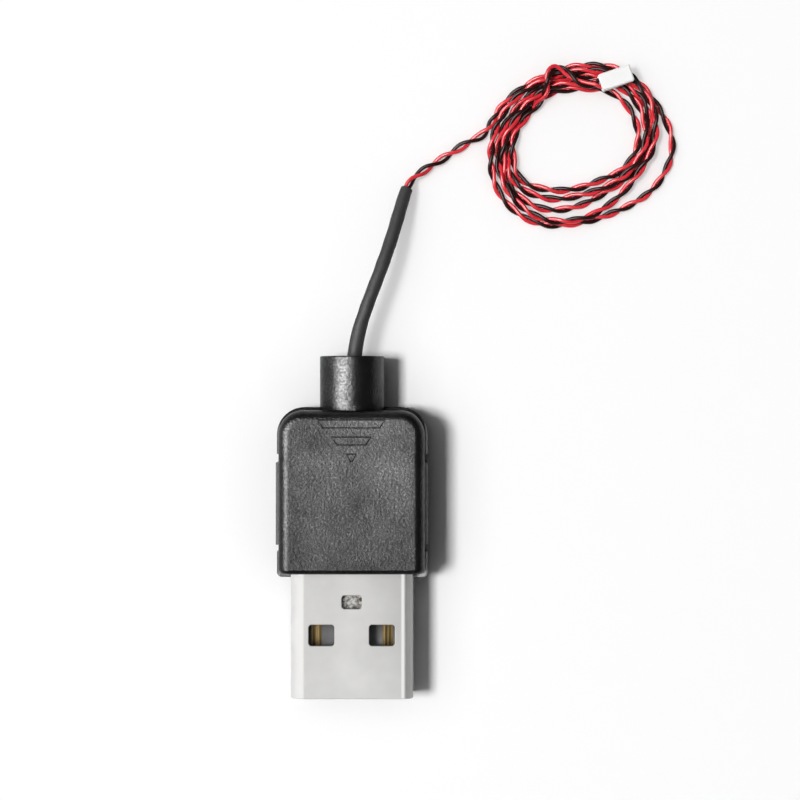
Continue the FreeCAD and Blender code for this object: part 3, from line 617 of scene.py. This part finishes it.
def softbox(name, width, length, tilt, radiance):
    """Make a rectangular light up on the left that faces the object."""
    data = bpy.data.lights.new(name, "AREA")
    data.shape = "RECTANGLE"
    data.size = width
    data.size_y = length
    data.energy = radiance * width * length * math.pi
    lamp = bpy.data.objects.new(name, data)
    angle = math.radians(tilt)
    lamp.location = (-LAMP_DISTANCE * math.sin(angle), 0.004, LAMP_DISTANCE * math.cos(angle))
    lamp.rotation_euler = (0, -angle, 0)
    bpy.context.scene.collection.objects.link(lamp)
    return lamp


def gather(name, leave_out):
    """Collect every mesh but some, for a lamp that lights or is blocked by only these."""
    chosen = bpy.data.collections.new(name)
    for piece in bpy.context.scene.objects:
        if piece.type == "MESH" and piece not in leave_out:
            chosen.objects.link(piece)
    return chosen


def make_lights(floor, metal_pieces, cord_pieces):
    """A softbox up on the left lights everything, and most of its light on the floor passes the
    cord, which keeps only a faint shadow there. A second one is only mirrored, by the dark
    pieces. The world is bright overhead and at the left, and dim at the right."""
    key = softbox("key", 0.28, 0.28, KEY_TILT, 100.0)
    key.light_linking.receiver_collection = gather("lit_pieces", [floor])
    only_floor = gather("lit_floor", [p for p in bpy.context.scene.objects if p is not floor])
    for name, radiance, passed in (("floor_key", 40.0, []), ("floor_fill", 60.0, cord_pieces)):
        lamp = softbox(name, 0.28, 0.28, KEY_TILT, radiance)
        lamp.light_linking.receiver_collection = only_floor
        lamp.light_linking.blocker_collection = gather(name + "_blockers", passed)
        lamp.visible_glossy = False
    key.visible_glossy = False
    softbox("wide_key", 1.50, 1.50, KEY_TILT, 0.95).visible_glossy = False
    sheen = softbox("sheen", 1.20, 1.28, SHEEN_TILT, 14.5)
    sheen.visible_diffuse = False
    sheen.light_linking.receiver_collection = gather("mirrors_sheen", metal_pieces)
    glint = softbox("glint", 0.28, 0.28, KEY_TILT, 45.0)
    glint.visible_diffuse = False
    not_cord = [p for p in bpy.context.scene.objects if p not in cord_pieces[:1]]
    glint.light_linking.receiver_collection = gather("mirrors_glint", not_cord)

    world = bpy.data.worlds.new("studio")
    bpy.context.scene.world = world
    world.use_nodes = True
    tree = world.node_tree
    tree.nodes.clear()
    paths = tree.nodes.new("ShaderNodeLightPath")
    where = tree.nodes.new("ShaderNodeTexCoord")
    split = tree.nodes.new("ShaderNodeSeparateXYZ")
    tree.links.new(where.outputs["Generated"], split.inputs[0])
    upright = tree.nodes.new("ShaderNodeMath")
    upright.operation = "ABSOLUTE"
    tree.links.new(split.outputs["Y"], upright.inputs[0])
    levels = []
    for source, start, stop, near, far in (
        (split.outputs["X"], -0.1, 0.45, 0.06, 0.03),
        (split.outputs["X"], -0.1, 0.45, 1.25, 0.15),
        (upright.outputs[0], 0.2, 0.6, 1.0, 0.2),
    ):
        ramp = tree.nodes.new("ShaderNodeMapRange")
        ramp.interpolation_type = "SMOOTHSTEP"
        tree.links.new(source, ramp.inputs["Value"])
        for key, value in zip(("From Min", "From Max", "To Min", "To Max"), (start, stop, near, far)):
            ramp.inputs[key].default_value = value
        levels.append(ramp.outputs[0])
    mirrored = tree.nodes.new("ShaderNodeMath")
    mirrored.operation = "MULTIPLY"
    tree.links.new(levels[1], mirrored.inputs[0])
    tree.links.new(levels[2], mirrored.inputs[1])
    mix = tree.nodes.new("ShaderNodeMix")
    tree.links.new(paths.outputs["Is Glossy Ray"], mix.inputs[0])
    tree.links.new(levels[0], mix.inputs[2])
    tree.links.new(mirrored.outputs[0], mix.inputs[3])
    seen = tree.nodes.new("ShaderNodeMix")
    tree.links.new(paths.outputs["Is Camera Ray"], seen.inputs[0])
    tree.links.new(mix.outputs[0], seen.inputs[2])
    seen.inputs[3].default_value = 1.0
    background = tree.nodes.new("ShaderNodeBackground")
    tree.links.new(seen.outputs[0], background.inputs["Strength"])
    out = tree.nodes.new("ShaderNodeOutputWorld")
    tree.links.new(background.outputs[0], out.inputs["Surface"])


make_camera()

# Cord
path = even_steps(smooth_path(LEAD_ROUTE + coil_points() + last_points()), 0.12)
red = plain_plastic("red_insulation", (0.56, 0.014, 0.026), (0.84, 0.040, 0.056), 0.22)
black = plain_plastic("black_insulation", (0.010, 0.003, 0.003), (0.034, 0.008, 0.007), 0.18, 0.16)
pair = make_pair(path, red, black)
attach(pair, "root")
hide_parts("twisted_pair_lead", "lead_coil")
sleeve_black = plain_plastic("sleeve_black", (0.018, 0.018, 0.018), (0.034, 0.034, 0.034), 0.60, 0.38, 5.0, 0.035)
sleeve = make_sleeve(path[path[:, 1].searchsorted(0):][: int(np.argmax(path[:, 1] > SLEEVE_END))], sleeve_black)
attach(sleeve, "root")
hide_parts("heat_shrink_sleeve")

# Housing, plug and connector
housing = housing_plastic()
white = plain_plastic("connector_white", (0.78, 0.78, 0.775), (0.86, 0.86, 0.855), 0.40)
# The carrier's colours are painted dark as painted shade inside the shell's windows, and its tone falls towards the
# windows' top as a painted shadow.
pale = plain_plastic("carrier_pale", (0.022, 0.021, 0.022), (0.135, 0.133, 0.137), 0.45, painted_shade_span=(-11.6, -9.6))
steel = shell_metal()
# The gold is painted dark as painted shade inside the shell's windows.
gold = plated_metal("contact_gold", (0.05, 0.036, 0.015), (0.24, 0.17, 0.075), 0.34)
tin = plated_metal("tinned_strip", (0.55, 0.54, 0.52), (0.72, 0.71, 0.68), 0.32)
copper = plated_metal("copper_strands", (0.66, 0.32, 0.18), (0.84, 0.46, 0.30), 0.35)
solder = plated_metal("solder", (0.58, 0.58, 0.58), (0.74, 0.74, 0.74), 0.22)
FINISHES = {
    "upper_cover": (housing, "housing_plastic"),
    "lower_cover": (housing, "housing_plastic"),
    "plug_shell": (steel, "shell_metal"),
    "contact_carrier": (pale, "carrier_plastic"),
    "contact_power": (gold, "contact_metal"),
    "contact_data_minus": (gold, "contact_metal"),
    "contact_data_plus": (gold, "contact_metal"),
    "contact_ground": (gold, "contact_metal"),
    "power_wire_end": (red, "red_insulation"),
    "power_bare_end": (copper, "copper"),
    "power_solder_joint": (solder, "solder"),
    "ground_wire_end": (black, "black_insulation"),
    "ground_bare_end": (copper, "copper"),
    "ground_solder_joint": (solder, "solder"),
    "wire_connector_housing": (white, "connector_plastic"),
    "crimp_terminal_power": (tin, "terminal_metal"),
    "crimp_terminal_ground": (tin, "terminal_metal"),
}
for name, (material, slot) in FINISHES.items():
    nodes[name].data.materials.clear()
    nodes[name].data.materials.append(material)

far_pieces = [nodes[name] for name in FINISHES if name.startswith(("wire_connector", "crimp"))]
make_lights(make_floor(), [nodes["plug_shell"]], [pair, sleeve, *far_pieces])
bpy.context.scene.view_settings.view_transform = "Standard"
